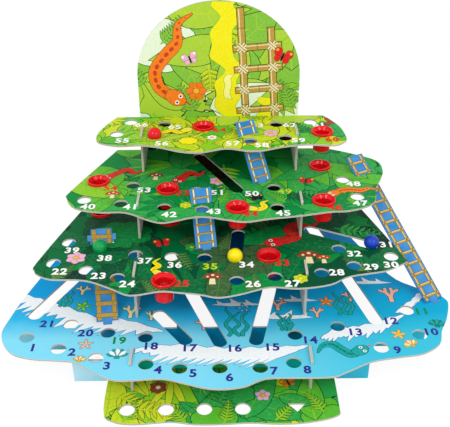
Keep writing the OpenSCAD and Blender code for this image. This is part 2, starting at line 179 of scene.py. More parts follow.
def rib_paper(tree, mm):
    """Pale grey facing paper, a little mottled."""
    mottle = noise(tree, mm, 0.08, 5.0)
    return shades(tree, mottle, [(0.3, tint(206, 205, 200)), (0.7, tint(224, 223, 218))])


for rib in ("left_rib", "right_rib"):
    dress_card(rib, "X", rib_paper)

# Cross panels.
# Two card panels stand across the ribs under the sea board, half-lapped over them. Their printed fronts
# run from pale blue at the ends to deep green or blue in the middle; the cut edges are bare.


def front_wash(tree, mm):
    """The front panel's print, from end to end."""
    share = share_of(tree, mm, "X", -150, 150)
    wash = shades(tree, share, [
        (0.0, tint(196, 234, 250)), (0.16, tint(150, 222, 244)), (0.2, tint(0, 150, 90)),
        (0.3, tint(0, 168, 160)), (0.44, tint(0, 172, 166)), (0.47, tint(20, 160, 70)),
        (0.53, tint(20, 160, 70)), (0.56, tint(0, 172, 166)), (0.8, tint(0, 178, 180)),
        (0.86, tint(60, 190, 220)), (1.0, tint(62, 192, 220))])
    return blend(tree, noise(tree, mm, 0.03), wash, blend(tree, 0.85, tint(0, 150, 200), wash))


def rear_wash(tree, mm):
    """The rear panel's print, from end to end."""
    share = share_of(tree, mm, "X", -215, 215)
    wash = shades(tree, share, [
        (0.0, tint(150, 226, 246)), (0.16, tint(120, 216, 244)), (0.24, tint(10, 150, 214)),
        (0.76, tint(0, 150, 200)), (0.84, tint(40, 196, 226)), (1.0, tint(60, 206, 232))])
    return blend(tree, noise(tree, mm, 0.04), wash, blend(tree, 0.85, tint(0, 120, 190), wash))


dress_card("front_cross_panel", "Y", front_wash, front_first=True)
dress_card("rear_cross_panel", "Y", rear_wash, front_first=True)

# Start board.
# The lowest board lies on the table: card printed with a garden of broad leaves, blades and ferns.
# Each printed shape is a film of ink, thinner than paper, cut to the board's own outline and holes.

inks = {
    "line": tint(16, 60, 34), "navy": tint(45, 46, 140), "white": tint(252, 252, 250),
    "lime": tint(200, 216, 36), "yellow": tint(244, 232, 24), "straw": tint(250, 244, 140),
    "grass": tint(140, 200, 40), "leaf": tint(92, 186, 48), "mid": tint(46, 166, 74),
    "green": tint(0, 136, 62), "deep": tint(0, 106, 56), "dark": tint(0, 78, 48),
    "night": tint(8, 52, 40), "moss": tint(84, 132, 62), "olive": tint(58, 98, 54),
    "mist": tint(230, 242, 214), "red": tint(226, 34, 34), "orange": tint(246, 126, 26),
    "pink": tint(238, 180, 208), "brown": tint(150, 66, 38), "tan": tint(190, 152, 66),
    "cream": tint(240, 224, 172), "rust": tint(196, 66, 34), "azure": tint(30, 160, 216),
    "ocean": tint(0, 92, 160), "teal": tint(20, 164, 160), "sea_green": tint(0, 130, 124),
    "foam": tint(240, 245, 247), "peach": tint(244, 180, 160), "shell": tint(210, 180, 168),
    "gold": tint(242, 184, 50), "black": tint(26, 24, 24), "spring": tint(172, 208, 60),
    "fresh": tint(132, 192, 62), "bark": tint(58, 38, 22),
}
ink_finishes = {}
ink_roughness = 0.42
ink_fade = 0.04
ink_deepen = 0.92


def ink_finish(colour):
    """Varnished printing ink: one colour that the paper's tooth fades here and deepens there."""
    if colour not in ink_finishes:
        material, tree, shader, mm = finish("ink_" + colour, print_shine, ink_roughness)
        tone = inks[colour]
        lighter = tuple(value + (1 - value) * ink_fade for value in tone[:3]) + (1,)
        darker = tuple(value * ink_deepen for value in tone[:3]) + (1,)
        tooth = noise(tree, mm, 0.35, 5.0)
        print_tone = shades(tree, tooth, [(0.3, darker), (0.5, tone), (0.72, lighter)])
        tree.links.new(print_tone, shader.inputs["Base Color"])
        ink_finishes[colour] = material
    return ink_finishes[colour]


def turned(points, x, y, degrees, scale=1.0):
    """A shape drawn at the origin, scaled, turned and set at its place."""
    angle = math.radians(degrees)
    cos, sin = scale * math.cos(angle), scale * math.sin(angle)
    return [(x + u * cos - v * sin, y + u * sin + v * cos) for u, v in points]


def loop_of(points):
    """Each point of an outline with the next one."""
    return list(zip(points, points[1:] + points[:1]))


def grown(points, by):
    """The same outline drawn larger all round, for the dark line behind a shape."""
    larger = []
    for number, here in enumerate(points):
        before, after = points[number - 1], points[(number + 1) % len(points)]
        first = Vector((here[1] - before[1], before[0] - here[0]))
        second = Vector((after[1] - here[1], here[0] - after[0]))
        if first.length < 1e-6 or second.length < 1e-6:
            larger.append(here)
            continue
        first.normalize()
        second.normalize()
        out = first + second
        # At a spike the two sides face apart, so the line follows the next side alone.
        if out.length < 0.4:
            out = second.copy()
        out.normalize()
        reach = by / max(0.5, out.dot(second))
        larger.append((here[0] + out.x * reach, here[1] + out.y * reach))
    return larger


class Sheet:
    """One print: its shapes in the order they are laid, and the films of ink on each small square."""
    square = 3.0

    def __init__(self):
        self.shapes = []
        self.films = {}

    def squares(self, points):
        """The squares that an outline covers."""
        covered = set()
        size = self.square
        for (ax, ay), (bx, by) in loop_of(points):
            length = math.hypot(bx - ax, by - ay)
            for n in range(int(length / size) + 2):
                t = min(1.0, n * size / max(0.01, length))
                px, py = ax + (bx - ax) * t, ay + (by - ay) * t
                covered.add((math.floor(px / size), math.floor(py / size)))
        heights = [y for x, y in points]
        for row in range(math.floor(min(heights) / size), math.ceil(max(heights) / size)):
            middle = (row + 0.5) * size
            crossings = sorted(ax + (middle - ay) * (bx - ax) / (by - ay)
                               for (ax, ay), (bx, by) in loop_of(points) if (ay > middle) != (by > middle))
            for left, right in zip(crossings[::2], crossings[1::2]):
                for column in range(math.floor(left / size), math.floor(right / size) + 1):
                    covered.add((column, row))
        return covered


def lay(sheet, colour, *outlines, line="line", weight=0.7):
    """Lays shapes of one colour on a sheet, over all they overlap, with a thin dark line round them."""
    facing = []
    for points in outlines:
        area = sum(a[0] * b[1] - b[0] * a[1] for a, b in loop_of(points))
        facing.append(points if area > 0 else points[::-1])
    larger = [grown(points, weight) for points in facing] if line else facing
    covered = set().union(*(sheet.squares(points) for points in larger))
    level = max((sheet.films.get(square, 0) for square in covered), default=0) + 1
    if line:
        sheet.shapes += [(line, points, level) for points in larger]
        level += 1
    sheet.shapes += [(colour, points, level) for points in facing]
    for square in covered:
        sheet.films[square] = level


def blade_shape(length, width, bend=0.0, belly=0.75, steps=10):
    """A leaf from its stalk at the origin to its tip on +x, bowed sideways by bend."""
    spine = [(length * n / steps, bend * length * (n / steps) ** 2) for n in range(steps + 1)]
    half = [width / 2 * math.sin(math.pi * (n / steps) ** belly) for n in range(steps + 1)]
    left = [(x, y + h) for (x, y), h in zip(spine, half)]
    right = [(x, y - h) for (x, y), h in zip(spine[1:-1], half[1:-1])]
    return left + right[::-1]


def disc(radius, steps=14, squash=1.0):
    """A round or an oval spot."""
    turns = [2 * math.pi * n / steps for n in range(steps)]
    return [(radius * math.cos(turn), radius * squash * math.sin(turn)) for turn in turns]


def ribbon(path, widths):
    """A strip along a path, with its width at each point."""
    left, right = [], []
    for number, (x, y) in enumerate(path):
        before, after = path[max(0, number - 1)], path[min(len(path) - 1, number + 1)]
        way = Vector((after[0] - before[0], after[1] - before[1])).normalized()
        half = widths[number] / 2
        left.append((x - way.y * half, y + way.x * half))
        right.append((x + way.y * half, y - way.x * half))
    return left + right[::-1]


def smooth_path(points, steps=6):
    """A smooth curve through a few points, each stretch led by the four points around it."""
    ends = [points[0]] + list(points) + [points[-1]]
    path = []
    for a, b, c, d in zip(ends, ends[1:], ends[2:], ends[3:]):
        for n in range(steps):
            t = n / steps
            shares = (-t + 2 * t ** 2 - t ** 3, 2 - 5 * t ** 2 + 3 * t ** 3,
                      t + 4 * t ** 2 - 3 * t ** 3, t ** 3 - t ** 2)
            near = list(zip(shares, (a, b, c, d)))
            path.append(tuple(sum(share * point[k] for share, point in near) / 2 for k in (0, 1)))
    return path + [tuple(points[-1])]


def broad_leaf(sheet, x, y, degrees, length, width, colour, vein=None, bend=0.0):
    """A leaf with its midrib and side veins."""
    lay(sheet, colour, turned(blade_shape(length, width, bend), x, y, degrees))
    if vein:
        spine = [(length * n / 6, bend * length * (n / 6) ** 2) for n in range(6)]
        veins = [ribbon(spine, [1.3, 1.1, 1.0, 0.8, 0.6, 0.2])]
        for n in (1, 2, 3, 4):
            reach = width * 0.36 * math.sin(math.pi * (n / 6) ** 0.75)
            sx, sy = spine[n]
            for side in (-1, 1):
                root = (sx + 0.8, sy + side * 1.1)
                veins.append(ribbon([root, (sx + reach * 0.8, sy + side * reach)], [0.8, 0.3]))
        lay(sheet, vein, *(turned(points, x, y, degrees) for points in veins), line=None)


def fern(sheet, x, y, degrees, length, colour, bend=0.25, pairs=8):
    """A frond: a bowed stem with pairs of narrow leaflets that shorten to its tip."""
    leaflets = []
    for n in range(pairs, 0, -1):
        t = n / (pairs + 1)
        lean = math.degrees(math.atan(2 * bend * t))
        size = length * 0.34 * (1 - t) ** 0.6
        for side in (-1, 1):
            leaflet = blade_shape(size, size * 0.3, side * 0.15, steps=5)
            leaflets.append(turned(leaflet, length * t, bend * length * t * t, lean + side * 52))
    stem = [(length * n / 6, bend * length * (n / 6) ** 2) for n in range(7)]
    lay(sheet, colour, *(turned(points, x, y, degrees) for points in leaflets), weight=0.45)
    stalk = ribbon(stem, [1.9, 1.8, 1.6, 1.4, 1.2, 0.9, 0.3])
    lay(sheet, colour, turned(stalk, x, y, degrees), line=None)


def fan_leaf(sheet, x, y, degrees, length, colour, blades=7, spread=150):
    """A palm leaf: one outline of blades that fan out from a stalk."""
    gap = spread / (blades - 1)
    fan = [(0, 0)]
    for n in range(blades):
        size = length * (0.75 + 0.25 * math.sin(math.pi * n / (blades - 1)))
        for reach, lean in ((0.4, -0.5), (0.72, -0.36), (1.0, 0), (0.72, 0.36)):
            angle = math.radians(gap * (n + lean) - spread / 2)
            fan.append((size * reach * math.cos(angle), size * reach * math.sin(angle)))
    lay(sheet, colour, turned(fan, x, y, degrees), weight=0.5)


def bush(sheet, x, y, radius, colour, lobes=7):
    """A low round bush with a lobed edge."""
    points = []
    for n in range(lobes * 6):
        angle = 2 * math.pi * n / (lobes * 6)
        reach = radius * (0.86 + 0.14 * abs(math.sin(angle * lobes / 2)))
        points.append((x + reach * math.cos(angle), y + reach * 0.8 * math.sin(angle)))
    lay(sheet, colour, points)


def flower(sheet, x, y, radius, petal, heart, petals=6, turn=90):
    """Petals round a heart, each with its own line."""
    shape = blade_shape(radius, radius * 0.8, 0, 1.25, 6)
    for n in range(petals):
        lay(sheet, petal, turned(shape, x, y, turn + 360 * n / petals), weight=0.3)
    lay(sheet, heart, turned(disc(radius * 0.28, 10), x, y, 0), weight=0.3)


def butterfly(sheet, x, y, wingspan, wing, spot, turn):
    """Two pairs of wings with a spot on each upper one, and a body."""
    for reach, wide, lift in ((0.36, 0.3, -32), (0.5, 0.38, 38)):
        half = turned(blade_shape(wingspan * reach, wingspan * wide, 0, 1.5, 7), 0, 0, lift)
        wings = [[(side * (u + 0.2), v) for u, v in half] for side in (-1, 1)]
        lay(sheet, wing, *(turned(points, x, y, turn) for points in wings), weight=0.3)
    dot = [(wingspan * 0.31 + u, wingspan * 0.24 + v) for u, v in disc(wingspan * 0.065, 8)]
    spots = [[(side * u, v) for u, v in dot] for side in (-1, 1)]
    lay(sheet, spot, *(turned(points, x, y, turn) for points in spots), line=None)
    lay(sheet, "black", turned(disc(wingspan * 0.05, 10, 4.6), x, y, turn), line=None)


def toadstool(sheet, x, y, size, cap):
    """A domed cap with three dots, on a stalk."""
    lay(sheet, "cream", turned(ribbon([(0, -0.5), (0, 0.1)], [0.34, 0.24]), x, y, 0, size), weight=0.3)
    dome = [(0.5 * math.cos(math.pi * n / 12), 0.45 * math.sin(math.pi * n / 12)) for n in range(13)]
    lay(sheet, cap, turned(dome, x, y, 0, size), weight=0.35)
    dots = []
    for u, v, radius in ((-0.24, 0.14, 0.07), (0.02, 0.27, 0.09), (0.26, 0.13, 0.06)):
        dots.append(turned(disc(radius, 8), x + size * u, y + size * v, 0, size))
    lay(sheet, "cream", *dots, line=None)


leaf_till = 0.58
bush_till = 0.7
fern_till = 0.82
palm_till = 0.9


def foliage(sheet, seed, box, count, tones, sizes):
    """A garden bed: broad leaves laid over each other, with some bushes, ferns, palms and tufts."""
    dice = random.Random(seed)
    for n in range(count):
        x, y = dice.uniform(box[0], box[2]), dice.uniform(box[1], box[3])
        tone, vein = dice.choice(tones(x, y))
        size = dice.uniform(*sizes)
        turn = dice.uniform(0, 360)
        bow = dice.uniform(-0.25, 0.25)
        kind = dice.random()
        if kind < leaf_till:
            broad_leaf(sheet, x, y, turn, size, size * dice.uniform(0.36, 0.56), tone, vein, bow)
        elif kind < bush_till:
            bush(sheet, x, y, size * 0.5, tone, dice.choice((6, 7, 8)))
        elif kind < fern_till:
            fern(sheet, x, y, turn, size * 0.8, vein or tone, bow, 7)
        elif kind < palm_till:
            fan_leaf(sheet, x, y, turn, size * 0.6, vein or tone)
        else:
            blade = blade_shape(size, size * 0.14, bow)
            for lean in (-24, 24, 0):
                lay(sheet, tone, turned(blade, x, y, turn + lean), weight=0.5)


ink_step = 0.006
ink_film = 0.004
ink_lift = 0.012
ink_tops = {}
cutter_rise = 0.0015


def pick(piece):
    """Selects one object alone and makes it the active one."""
    bpy.ops.object.select_all(action="DESELECT")
    piece.select_set(True)
    bpy.context.view_layer.objects.active = piece


def draw_films(name, sheet):
    """Draws a sheet's shapes flat, each at its own level, and gives them the thickness of ink."""
    bpy.ops.object.select_all(action="DESELECT")
    first = len(sheet.shapes[0][1])
    bpy.ops.mesh.primitive_circle_add(vertices=first, fill_type="NGON", enter_editmode=True)
    for _, points, _ in sheet.shapes[1:]:
        bpy.ops.mesh.primitive_circle_add(vertices=len(points), fill_type="NGON")
    bpy.ops.object.mode_set(mode="OBJECT")
    art = bpy.context.object
    art.name = art.data.name = name
    tones = sorted({colour for colour, _, _ in sheet.shapes})
    for colour in tones:
        art.data.materials.append(ink_finish(colour))
    places, corner_tones = [], []
    for colour, points, level in sheet.shapes:
        for u, v in points:
            places += [u / 1000, v / 1000, (ink_lift + ink_step * level) / 1000]
            corner_tones.append(tones.index(colour))
    art.data.vertices.foreach_set("co", places)
    for face in art.data.polygons:
        face.material_index = corner_tones[face.vertices[0]]
    bpy.ops.object.mode_set(mode="EDIT")
    bpy.ops.mesh.select_all(action="SELECT")
    bpy.ops.mesh.extrude_region_move(TRANSFORM_OT_translate={"value": (0, 0, ink_film / 1000)})
    bpy.ops.mesh.select_all(action="SELECT")
    bpy.ops.mesh.normals_make_consistent(inside=False)
    bpy.ops.object.mode_set(mode="OBJECT")
    return art


def trim_to_card(art, card, rise):
    """Cuts the films to a card's own outline and holes, by a copy of the card raised to cover them."""
    cutter = bpy.data.objects[card].copy()
    cutter.data = cutter.data.copy()
    bpy.context.collection.objects.link(cutter)
    cutter.parent = None
    cutter.matrix_world = Matrix.Translation(rise)
    pick(cutter)
    bpy.ops.object.mode_set(mode="EDIT")
    bpy.ops.mesh.select_all(action="SELECT")
    bpy.ops.mesh.remove_doubles(threshold=1e-6)
    bpy.ops.object.mode_set(mode="OBJECT")
    pick(art)
    trim = art.modifiers.new("trim", "BOOLEAN")
    trim.object = cutter
    trim.operation = "INTERSECT"
    trim.solver = "MANIFOLD"
    bpy.ops.object.modifier_apply(modifier="trim")
    bpy.data.objects.remove(cutter)


def print_sheet(name, sheet, card, stand, rise):
    """Prints a sheet on a card: its films are drawn, stood on the card's face and cut to the card."""
    art = draw_films(name, sheet)
    art.data.transform(stand)
    trim_to_card(art, card, rise)
    ink_tops[card] = ink_lift + ink_step * (1 + max(level for _, _, level in sheet.shapes))
    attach(art, "frame")


def print_board(name, sheet, board):
    """Prints a sheet on the top of a level board."""
    top = Matrix.Translation((0, 0, span(board, "Z")[1] / 1000))
    print_sheet(name, sheet, board, top, Vector((0, 0, cutter_rise)))


patch_stir = 1.2
seam_share = 0.012


def garden_ground(tree, mm, colours, patch):
    """The ground under the leaves: flat patches of a few colours with a thin line between them."""
    blotch = {"Vector": mm, "Scale": patch_stir / patch, "Detail": 2.0}
    stir = wire(tree, "TexNoise", blotch).outputs["Color"]
    moved = wire(tree, "VectorMath", {0: stir, "Scale": patch * patch_stir}, operation="SCALE").outputs[0]
    spot = wire(tree, "VectorMath", {0: mm, 1: moved}, operation="ADD").outputs[0]
    cell = {"Vector": spot, "Scale": 1 / patch}
    cells = wire(tree, "TexVoronoi", cell, voronoi_dimensions="2D")
    chance = wire(tree, "SeparateColor", {0: cells.outputs["Color"]}).outputs[0]
    stops = [(n / len(colours), inks[colour]) for n, colour in enumerate(colours)]
    ground = shades(tree, chance, stops, "CONSTANT")
    seams = wire(tree, "TexVoronoi", cell, voronoi_dimensions="2D", feature="DISTANCE_TO_EDGE")
    drawn = reckon(tree, "LESS_THAN", seams.outputs["Distance"], seam_share)
    return blend(tree, drawn, ground, inks["line"])


def planted(*colours, patch):
    """The ground of one board, in its own colours and size of patch."""
    return lambda tree, mm: garden_ground(tree, mm, colours, patch)


def start_tones(x, y):
    """The leaf and vein colours that grow at a place on the start board."""
    if x < -45:
        return ("lime", "grass"), ("lime", "yellow"), ("grass", "lime"), ("leaf", "lime"), ("lime", "grass")
    return ("leaf", "grass"), ("mid", "leaf"), ("mid", "grass"), ("leaf", "mid"), ("mid", "lime")


dress_card("start_board", "Z", planted("leaf", "grass", "mid", "lime", patch=34))
start_art = Sheet()
foliage(start_art, 11, (-120, -44, 112, 44), 46, start_tones, (34, 66))
flower(start_art, -62, 4, 9, "brown", "cream")
flower(start_art, 40, -8, 8, "pink", "gold", 5)
butterfly(start_art, 66, 8, 18, "orange", "yellow", 20)
for x, y, turn in ((-92, -40, 60), (-34, -42, 120), (2, -43, 70), (50, -40, 40), (96, -30, 110)):
    fern(start_art, x, y, turn, 30, "grass", 0.2, 7)
print_board("start_board_print", start_art, "start_board")

# Sea board.
# The widest board, printed as water that deepens from a pale shore to a blue sea behind a line of foam,
# with shells on the shore and coral and weed in the deep. It slots over the ribs' first steps.


shore_front = -30
sea_back = 290
ripple_reach = 26.0
left_till = -20
right_from = 150


def water_print(tree, mm):
    """Water that deepens from front to back, paler on the left shore than on the right."""
    ripple = noise(tree, mm, 0.02)
    depth = wire(tree, "SeparateXYZ", {0: mm}).outputs["Y"]
    stirred = reckon(tree, "MULTIPLY_ADD", ripple, ripple_reach, depth)
    reach = {"Value": stirred, "From Min": shore_front, "From Max": sea_back}
    share = wire(tree, "MapRange", reach).outputs["Result"]
    left = shades(tree, share, [
        (0.0, tint(124, 212, 238)), (0.26, tint(128, 216, 240)), (0.36, tint(44, 180, 228)),
        (0.5, tint(0, 160, 224)), (0.75, tint(0, 142, 212)), (1.0, tint(0, 112, 184))])
    right = shades(tree, share, [
        (0.0, tint(70, 194, 220)), (0.26, tint(56, 190, 218)), (0.36, tint(8, 168, 208)),
        (0.5, tint(0, 166, 216)), (0.75, tint(0, 146, 208)), (1.0, tint(0, 112, 178))])
    return blend(tree, share_of(tree, mm, "X", left_till, right_from), left, right)


def foam_band(sheet, path, width, seed, lean=-1.2):
    """A band of foam: a scalloped back edge, and a front edge of ragged fingers that lean one way."""
    dice = random.Random(seed)
    line = smooth_path(path, 4)
    back, front = [], []
    for number, (x, y) in enumerate(line):
        ends = min(number, len(line) - 1 - number) / len(line)
        taper = min(1.0, 5 * ends) + 0.06
        back.append((x, y + width * taper * (0.42 + 0.16 * (number % 2))))
        finger = width * taper * dice.uniform(0.5, 1.05)
        front.append((x + lean * finger, y - finger))
        front.append((x + lean * finger + 1.6 * taper, y - finger * 0.97))
        front.append((x, y - width * taper * 0.36))
    lay(sheet, "foam", back + front[::-1], line="ocean", weight=0.6)


def curl(sheet, x, y, size, flip):
    """A small breaking wave."""
    crest = [(0, 0), (5, 1.4), (4, 6), (9, 2.4), (16, 2.6), (15, 9), (22, 3), (28, 2.6)]
    shape = crest + [(28, 7), (33, 2), (42, 0), (30, -1.6), (15, -1.8)]
    lay(sheet, "foam", [(x + flip * u * size, y + v * size) for u, v in shape], line="ocean", weight=0.6)


def coral(sheet, x, y, size, colour, seed):
    """A branching coral with round-ended twigs, drawn round in one outline."""
    dice = random.Random(seed)

    def branch(px, py, turn, length, wide, depth):
        """One twig's outline, from its left foot round to its right foot."""
        half = wide / 2
        if not depth:
            arc = [math.pi * n / 6 for n in range(7)]
            tip = [(length + half * math.sin(a), half * math.cos(a)) for a in arc]
            return turned([(0, half)] + tip + [(0, -half)], px, py, math.degrees(turn))
        ex, ey = px + length * math.cos(turn), py + length * math.sin(turn)
        left = branch(ex, ey, turn + dice.uniform(0.45, 0.8), length * 0.78, wide * 0.88, depth - 1)
        right = branch(ex, ey, turn - dice.uniform(0.45, 0.8), length * 0.78, wide * 0.88, depth - 1)
        foot = turned([(0, half), (length * 0.9, half)], px, py, math.degrees(turn))
        fork = turned([(length + wide * 0.6, 0)], px, py, math.degrees(turn))
        end = turned([(length * 0.9, -half), (0, -half)], px, py, math.degrees(turn))
        return foot + left[1:-1] + fork + right[1:-1] + end
    lay(sheet, colour, branch(x, y, math.pi / 2, size * 0.3, size * 0.14, 2))


def weed(sheet, x, y, height, colour, strands=3):
    """Strands of wavy weed from one foot."""
    for n in range(strands):
        foot = x + (n - (strands - 1) / 2) * height * 0.16
        tall = height * (0.72 + 0.16 * ((n + 1) % 2))
        path = [(foot + height * 0.06 * math.sin(t * 1.3 + n * 2), y + tall * t / 9) for t in range(10)]
        widths = [3.2, 4.0, 3.8, 3.6, 3.4, 3.2, 2.8, 2.4, 1.8, 0.5]
        lay(sheet, colour, ribbon(path, widths), weight=0.5)


def scallop(sheet, x, y, size, colour, stripe, turn):
    """A fan shell: ribs of two colours from one hinge."""
    for tone, ribs in ((colour, (0, 2, 4, 6)), (stripe, (1, 3, 5))):
        shells = []
        for n in ribs:
            lean = 22 * n - 66
            reach = size * (0.84 + 0.16 * math.cos(math.radians(lean)))
            shells.append(turned(blade_shape(reach, size * 0.34, 0, 1.6, 6), x, y, turn + lean))
        lay(sheet, tone, *shells, weight=0.3)
    hinge = [(-0.16, -0.2), (0.14, -0.14), (0.14, 0.14), (-0.16, 0.2)]
    lay(sheet, colour, turned(hinge, x, y, turn, size), weight=0.3)


def starfish(sheet, x, y, size, colour, turn):
    """A star of five round arms with a dot on each."""
    star, dots = [], []
    for n in range(30):
        angle = 2 * math.pi * n / 30
        reach = 0.64 + 0.36 * math.cos(5 * angle)
        star.append((reach * math.cos(angle), reach * math.sin(angle)))
    lay(sheet, colour, turned(star, x, y, turn, size), weight=0.35)
    for n in range(5):
        arm = turned([(0.46, 0)], x, y, turn + 72 * n, size)[0]
        dots.append(turned(disc(size * 0.09, 7), *arm, 0))
    lay(sheet, "cream", *dots, line=None)


def snake(sheet, path, width, colour, back):
    """A plain snake: a tapered body along a curve, marks down its back, and a head with two eyes."""
    line = smooth_path(path, 10)
    count = len(line)
    widths = [width * min(1.0, 0.12 + 2.2 * n / count) for n in range(count)]
    lay(sheet, colour, ribbon(line, widths), weight=0.45)
    marks = []
    for n in range(5, count - 7, 4):
        way = math.degrees(math.atan2(line[n + 1][1] - line[n][1], line[n + 1][0] - line[n][0]))
        marks.append(turned(disc(widths[n] * 0.24, 8, 0.7), *line[n], way))
    lay(sheet, back, *marks, line=None)
    end, near = line[-1], line[-4]
    way = math.degrees(math.atan2(end[1] - near[1], end[0] - near[0]))
    cheek = [(-0.9, 0.42), (-0.4, 0.62), (0.1, 0.72), (0.6, 0.56), (0.95, 0.2)]
    skull = cheek + [(u, -v) for u, v in cheek[::-1]]
    size = width * 0.93
    lay(sheet, "red", turned(ribbon([(0.8, 0), (1.5, 0.05)], [0.14, 0.1]), *end, way, size), line=None)
    lay(sheet, colour, turned(skull, *end, way, size), weight=0.45)
    for radius, tone in ((0.2, "white"), (0.1, "black")):
        eyes = [[(0.32 + u, side * 0.34 + v) for u, v in disc(radius, 10)] for side in (-1, 1)]
        lay(sheet, tone, *(turned(points, *end, way, size) for points in eyes), line=None)


dress_card("sea_board", "Z", water_print)
sea_art = Sheet()
foam_band(sea_art, [(-226, 120), (-200, 100), (-170, 86), (-130, 66), (-96, 60), (-58, 50)], 17, 1)
foam_band(sea_art, [(-84, 24), (-50, 21), (-14, 17), (20, 15), (56, 17), (86, 26)], 18, 2)
foam_band(sea_art, [(100, 38), (118, 45), (140, 48), (168, 58), (190, 72)], 14, 3, -0.6)
foam_band(sea_art, [(182, 76), (202, 90), (214, 104), (236, 112)], 11, 4, -0.5)
waves = ((-10, 92, 1.3, 1), (96, 70, 1.4, -1), (138, 128, 1.2, 1), (-190, 150, 1.3, -1), (58, 98, 1.1, 1))
for wave in waves:
    curl(sea_art, *wave)
for x, y, size, seed in ((-94, 72, 28, 3), (-72, 68, 20, 4), (-150, 112, 22, 5)):
    coral(sea_art, x, y, size, "cream", seed)
reef = ((-17, 52, 24, 6), (182, 94, 34, 7), (100, 70, 22, 8), (60, 82, 26, 9), (138, 96, 22, 10))
for x, y, size, seed in reef:
    coral(sea_art, x, y, size, "peach", seed)
for x, y, height in ((16, 42, 52), (130, 74, 44), (-166, 92, 30), (66, 50, 30)):
    weed(sea_art, x, y, height, "teal")
for shell in ((-101, 13, 13, "teal", "foam", 90), (-137, 8, 8, "gold", "cream", 80),
              (189, 25, 10, "gold", "cream", 120), (220, 54, 11, "sea_green", "teal", 80)):
    scallop(sea_art, *shell)
for star in ((-134, 32, 8, "shell", 20), (178, 42, 8, "gold", 5), (112, 96, 9, "orange", 10),
             (-146, 92, 10, "leaf", 0), (24, 86, 9, "azure", 30)):
    starfish(sea_art, *star)
sea_path = [(94, 16), (100, 26), (110, 28), (118, 20), (126, 14), (136, 19)]
snake(sea_art, sea_path, 10, "teal", "sea_green")
print_board("sea_board_print", sea_art, "sea_board")

# Lower forest board.
# The second level, printed as the dark floor of a forest: deep green leaves over near-black shade.
# It rests on the ribs' second steps; its holes, slots and cup holes are punched through the print.


def lower_tones(x, y):
    """The leaf and vein colours: darkest at the two ends, olive in the middle."""
    if abs(x) > 132:
        return ("night", "dark"), ("dark", "deep"), ("deep", "dark"), ("dark", "night")
    if abs(x) < 60 and y > 76:
        return ("olive", "dark"), ("deep", "green"), ("olive", "moss"), ("dark", "deep"), ("olive", "deep")
    return ("deep", "green"), ("green", "deep"), ("deep", "dark"), ("green", "mid"), ("dark", "deep")


dress_card("lower_forest_board", "Z", planted("deep", "dark", "green", "deep", "dark", patch=40))
lower_art = Sheet()
foliage(lower_art, 21, (-200, 36, 200, 200), 80, lower_tones, (46, 90))
for x, y, turn in ((-170, 70, 40), (-60, 40, 110), (30, 44, 70), (150, 78, 120), (0, 120, 60)):
    fern(lower_art, x, y, turn, 34, "moss")
snake(lower_art, [(-62, 106), (-68, 99), (-63, 92), (-68, 86), (-64, 81)], 6, "yellow", "gold")
red_path = [(112, 176), (100, 164), (84, 168), (76, 156), (82, 145), (72, 138), (59, 134)]
snake(lower_art, red_path, 13, "red", "rust")
flower(lower_art, -150, 108, 11, "pink", "gold")
butterfly(lower_art, -62, 134, 22, "red", "yellow", 15)
toadstool(lower_art, -8, 70, 20, "brown")
toadstool(lower_art, 92, 106, 24, "brown")
toadstool(lower_art, 107, 102, 15, "rust")
flower(lower_art, 80, 68, 8, "lime", "yellow")
flower(lower_art, -30, 126, 8, "mid", "lime")
print_board("lower_board_print", lower_art, "lower_forest_board")

# Middle forest board.
# The third level, printed as sunlit forest: bright greens that lighten to yellow-green at the left.
# It rests on the ribs' third steps.


def middle_tones(x, y):
    """The leaf and vein colours: yellower at the left, and lighter at the back as painted light against the
    top board's shade.
    """
    if x < -70:
        return ("leaf", "mid"), ("grass", "leaf"), ("leaf", "grass"), ("mid", "leaf")
    # Painted light: the back, shaded by the top board, gets lighter leaves and no deep green to lift that
    # shade.
    if y > 196:
        return ("leaf", "mid"), ("mid", "leaf"), ("mid", "green"), ("leaf", "grass")
    return ("green", "mid"), ("mid", "leaf"), ("mid", "green"), ("leaf", "mid"), ("green", "deep")


dress_card("middle_forest_board", "Z", planted("green", "mid", "green", "mid", patch=40))
middle_art = Sheet()
foliage(middle_art, 31, (-176, 108, 196, 270), 76, middle_tones, (42, 84))
for x, y, turn in ((-126, 150, 40), (70, 150, 120), (0, 150, 60), (140, 146, 70), (60, 210, 100)):
    fern(middle_art, x, y, turn, 30, "leaf")
snake(middle_art, [(52, 154), (45, 149), (47, 141), (41, 136), (34, 138)], 7, "yellow", "gold")
orange_path = [(174, 174), (164, 178), (153, 174), (143, 176), (133, 174), (123, 168)]
snake(middle_art, orange_path, 9, "orange", "rust")
snake(middle_art, [(-16, 222), (-24, 212), (-34, 217), (-40, 209), (-45, 202)], 10, "red", "rust")
snake(middle_art, [(-88, 226), (-97, 218), (-106, 226), (-116, 218), (-124, 211)], 9, "red", "rust")
toadstool(middle_art, -72, 210, 17, "brown")
toadstool(middle_art, -116, 170, 16, "rust")
flower(middle_art, -2, 198, 10, "pink", "gold")
butterfly(middle_art, 96, 196, 20, "red", "yellow", -15)
butterfly(middle_art, 40, 160, 18, "black", "gold", 10)
flower(middle_art, -36, 146, 7, "lime", "yellow")
print_board("middle_board_print", middle_art, "middle_forest_board")

# Top forest board.
# The highest level, printed as the tree tops: yellow-green leaves, darker to the right.
# It rests on the ribs' top steps and carries the goal.


def top_tones(x, y):
    """The leaf and vein colours: greener at the two ends, yellow-green between."""
    if x > 76:
        return ("leaf", "mid"), ("mid", "leaf"), ("leaf", "grass"), ("mid", "green")
    if x < -84:
        return ("grass", "leaf"), ("leaf", "grass"), ("grass", "lime")
    return ("lime", "grass"), ("spring", "lime"), ("lime", "yellow"), ("lime", "spring"), ("grass", "lime")


